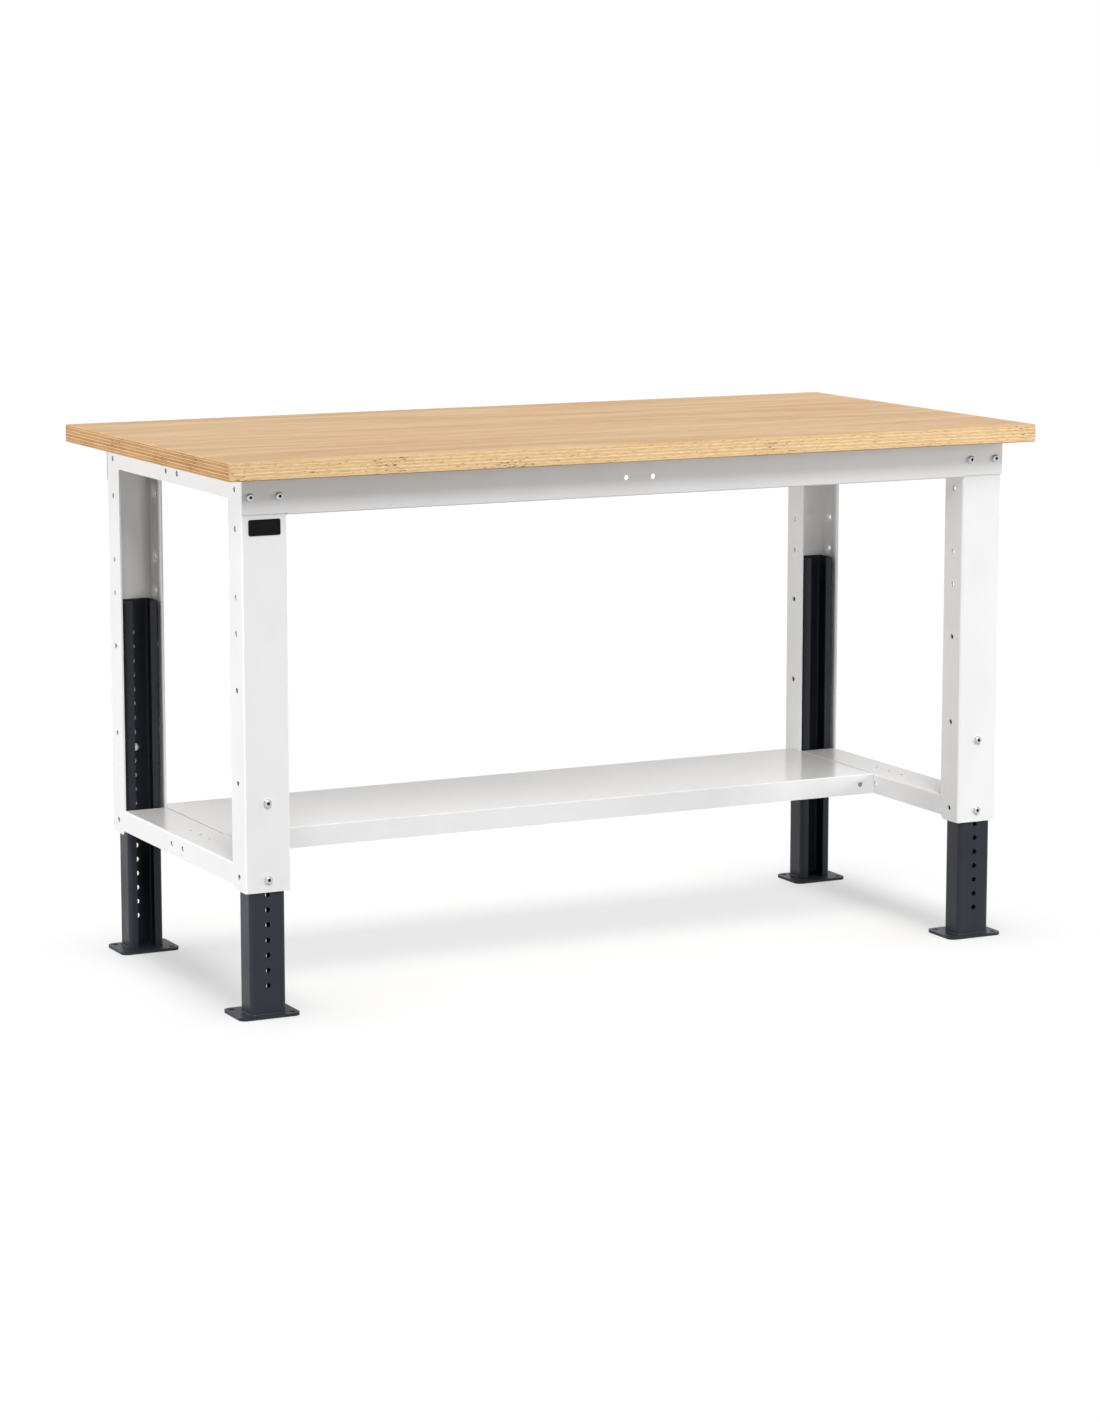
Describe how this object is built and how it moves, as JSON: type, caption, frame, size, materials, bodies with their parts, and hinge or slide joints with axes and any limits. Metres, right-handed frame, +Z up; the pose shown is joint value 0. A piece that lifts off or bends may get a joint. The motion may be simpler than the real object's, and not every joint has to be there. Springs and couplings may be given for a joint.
{
  "type": "workbench",
  "caption": "Height-adjustable workbench: a thick multilayer wood top on a folded sheet-steel frame, telescopic lipped-channel legs with lock holes, and a half-depth lower shelf.",
  "frame": {"origin": "on the floor, under the middle of the worktop", "axes": "+X along the worktop towards its right end, +Y from the front to the rear, +Z up"},
  "size_m": [1.5, 0.75, 0.907],
  "materials": {
    "multilayer_wood": "satin oil",
    "light_coat": "fine powder coat",
    "dark_coat": "fine powder coat",
    "zinc": "bright zinc",
    "blank_plate": "matt, left blank"
  },
  "bodies": {
    "frame": {"beam_nuts": "zinc", "beam_screws": "zinc", "front_beam": "light_coat", "label_plate": "blank_plate", "lock_nuts": "zinc", "lock_screws": "zinc", "lower_rail_left": "light_coat", "lower_rail_right": "light_coat", "rear_beam": "light_coat", "shelf": "light_coat", "shelf_nuts": "zinc", "shelf_screws": "zinc", "top_rail_left": "light_coat", "top_rail_right": "light_coat", "upright_front_left": "light_coat", "upright_front_right": "light_coat", "upright_rear_left": "light_coat", "upright_rear_right": "light_coat", "worktop": "multilayer_wood", "worktop_screws": "zinc"},
    "front_left_leg": {"leg_front_left": "dark_coat", "base_plate_front_left": "dark_coat"},
    "front_right_leg": {"leg_front_right": "dark_coat", "base_plate_front_right": "dark_coat"},
    "rear_left_leg": {"leg_rear_left": "dark_coat", "base_plate_rear_left": "dark_coat"},
    "rear_right_leg": {"leg_rear_right": "dark_coat", "base_plate_rear_right": "dark_coat"}
  },
  "joints": [
    {"name": "front_left_leg_slide", "type": "slide", "parent": "frame", "child": "front_left_leg", "axis": [0, 0, 1], "range_m": [-0.125, 0.175]},
    {"name": "front_right_leg_slide", "type": "slide", "parent": "frame", "child": "front_right_leg", "axis": [0, 0, 1], "range_m": [-0.125, 0.175]},
    {"name": "rear_left_leg_slide", "type": "slide", "parent": "frame", "child": "rear_left_leg", "axis": [0, 0, 1], "range_m": [-0.125, 0.175]},
    {"name": "rear_right_leg_slide", "type": "slide", "parent": "frame", "child": "rear_right_leg", "axis": [0, 0, 1], "range_m": [-0.125, 0.175]}
  ]
}
